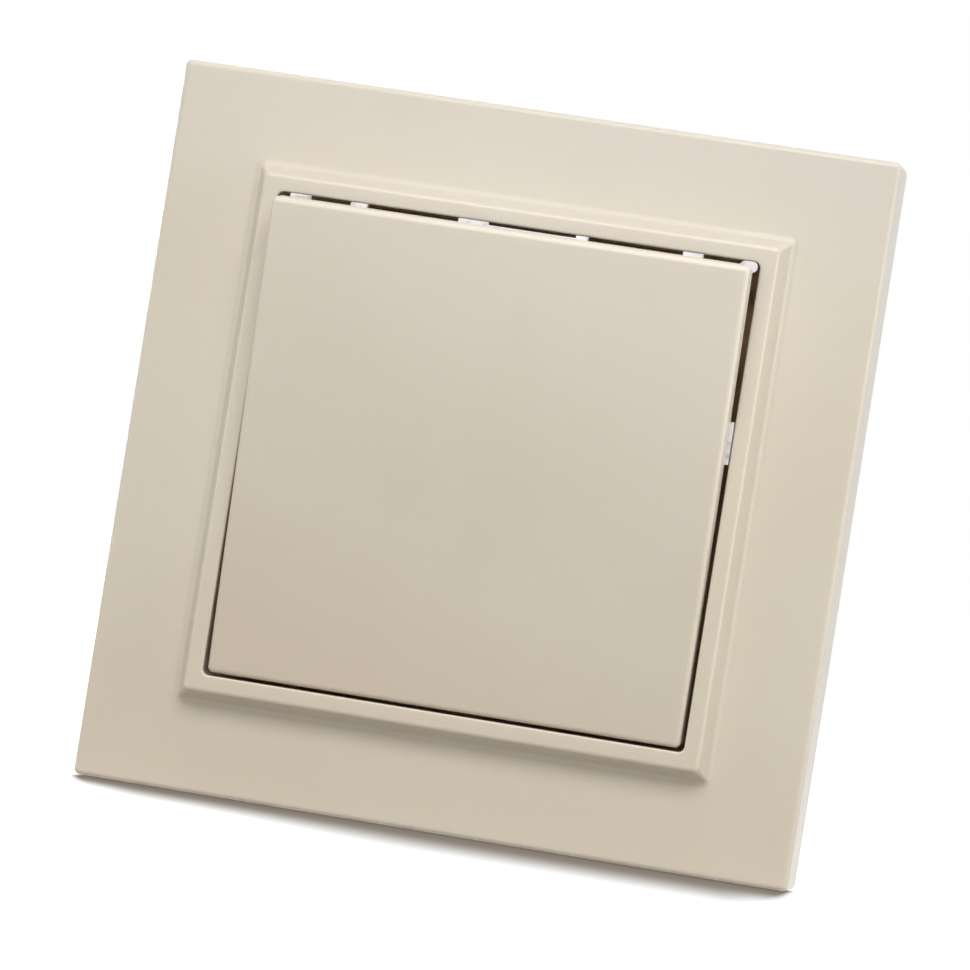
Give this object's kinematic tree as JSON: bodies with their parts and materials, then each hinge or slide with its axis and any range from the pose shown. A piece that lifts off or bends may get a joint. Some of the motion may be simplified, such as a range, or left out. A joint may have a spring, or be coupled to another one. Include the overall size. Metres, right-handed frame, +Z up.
{
  "type": "light switch",
  "caption": "Square flush rocker light switch in cream plastic: raised-rim cover frame, tilting rocker key, steel wall strap with spreading claws and screw-terminal housing.",
  "frame": {"origin": "on the wall face, at the centre of the strap's screw slots, behind the middle of the rocker", "axes": "+Z up, +X right seen from the room, -Y out of the wall towards the room, +Y into the wall box"},
  "size_m": [0.082, 0.0373, 0.082],
  "materials": {
    "cream_plastic": "semi-gloss cream, fine moulded texture",
    "white_plastic": "satin white",
    "brown_plastic": "matt brown thermoset",
    "grey_plastic": "matt light grey thermoset",
    "black_plastic": "matt black",
    "zinc_steel": "zinc plated",
    "spring_steel": "bright drawn",
    "brass": "rolled",
    "contact_silver": "silver"
  },
  "bodies": {
    "base": {"cover_frame": "cream_plastic", "carrier": "brown_plastic", "support_strap": "zinc_steel", "housing": "grey_plastic", "rivets": "zinc_steel", "common_terminal": "brass", "switched_terminal": "brass", "fixed_contact": "contact_silver", "claw_pin_left": "zinc_steel", "claw_pin_right": "zinc_steel"},
    "rocker": {"rocker_key": "cream_plastic", "cradle": "white_plastic", "toggle_spring": "spring_steel"},
    "plunger": {"plunger": "black_plastic"},
    "contact": {"contact_blade": "brass", "moving_contact": "contact_silver"},
    "cage_common": {"clamp_cage_common": "zinc_steel"},
    "cage_switched": {"clamp_cage_switched": "zinc_steel"},
    "screw_common": {"terminal_screw_common": "zinc_steel"},
    "screw_switched": {"terminal_screw_switched": "zinc_steel"},
    "claw_left": {"claw_left": "zinc_steel"},
    "claw_right": {"claw_right": "zinc_steel"},
    "nut_left": {"claw_nut_left": "zinc_steel"},
    "nut_right": {"claw_nut_right": "zinc_steel"},
    "claw_screw_left": {"claw_screw_left": "zinc_steel"},
    "claw_screw_right": {"claw_screw_right": "zinc_steel"}
  },
  "joints": [
    {"name": "rocker_tilt", "type": "hinge", "parent": "base", "child": "rocker", "pos_m": [0, -0.0117, 0], "axis": [1, 0, 0], "range_deg": [-12, 0]},
    {"name": "contact_tilt", "type": "hinge", "parent": "base", "child": "contact", "pos_m": [0, 0.0096, 0], "axis": [1, 0, 0], "range_deg": [0, 12]},
    {"name": "plunger_press", "type": "slide", "parent": "rocker", "child": "plunger", "axis": [0, -0.9945, -0.1045], "range_m": [0, 0.0012], "stiffness_N_per_m": 800, "springref_m": -0.002, "deforming": ["toggle_spring"]},
    {"name": "screw_turn_common", "type": "hinge", "parent": "base", "child": "screw_common", "pos_m": [0, 0.0149, 0.018], "axis": [0, 0, -1], "range_deg": [0, 1440]},
    {"name": "cage_rise_common", "type": "slide", "parent": "base", "child": "cage_common", "axis": [0, 0, 1], "range_m": [0, 0.0018]},
    {"name": "screw_turn_switched", "type": "hinge", "parent": "base", "child": "screw_switched", "pos_m": [0, 0.0149, -0.018], "axis": [0, 0, 1], "range_deg": [0, 1440]},
    {"name": "cage_rise_switched", "type": "slide", "parent": "base", "child": "cage_switched", "axis": [0, 0, -1], "range_m": [0, 0.0018]},
    {"name": "claw_screw_turn_left", "type": "hinge", "parent": "base", "child": "claw_screw_left", "pos_m": [-0.022, 0, 0], "axis": [0, 1, 0], "range_deg": [0, 432]},
    {"name": "nut_draw_left", "type": "slide", "parent": "base", "child": "nut_left", "axis": [0, -1, 0], "range_m": [0, 0.0006]},
    {"name": "claw_spread_left", "type": "hinge", "parent": "base", "child": "claw_left", "pos_m": [-0.026, 0.014, 0], "axis": [0, 0, -1], "range_deg": [0, 20]},
    {"name": "claw_screw_turn_right", "type": "hinge", "parent": "base", "child": "claw_screw_right", "pos_m": [0.022, 0, 0], "axis": [0, 1, 0], "range_deg": [0, 432]},
    {"name": "nut_draw_right", "type": "slide", "parent": "base", "child": "nut_right", "axis": [0, -1, 0], "range_m": [0, 0.0006]},
    {"name": "claw_spread_right", "type": "hinge", "parent": "base", "child": "claw_right", "pos_m": [0.026, 0.014, 0], "axis": [0, 0, 1], "range_deg": [0, 20]}
  ],
  "couplings": [
    {"joint": "contact_tilt", "follows": "rocker_tilt", "ratio": -1},
    {"joint": "screw_turn_common", "follows": "cage_rise_common", "rad_per_m": 13962},
    {"joint": "screw_turn_switched", "follows": "cage_rise_switched", "rad_per_m": 13962},
    {"joint": "claw_screw_turn_left", "follows": "nut_draw_left", "rad_per_m": 12566},
    {"joint": "claw_spread_left", "follows": "nut_draw_left", "rad_per_m": 581.7},
    {"joint": "claw_screw_turn_right", "follows": "nut_draw_right", "rad_per_m": 12566},
    {"joint": "claw_spread_right", "follows": "nut_draw_right", "rad_per_m": 581.7}
  ]
}
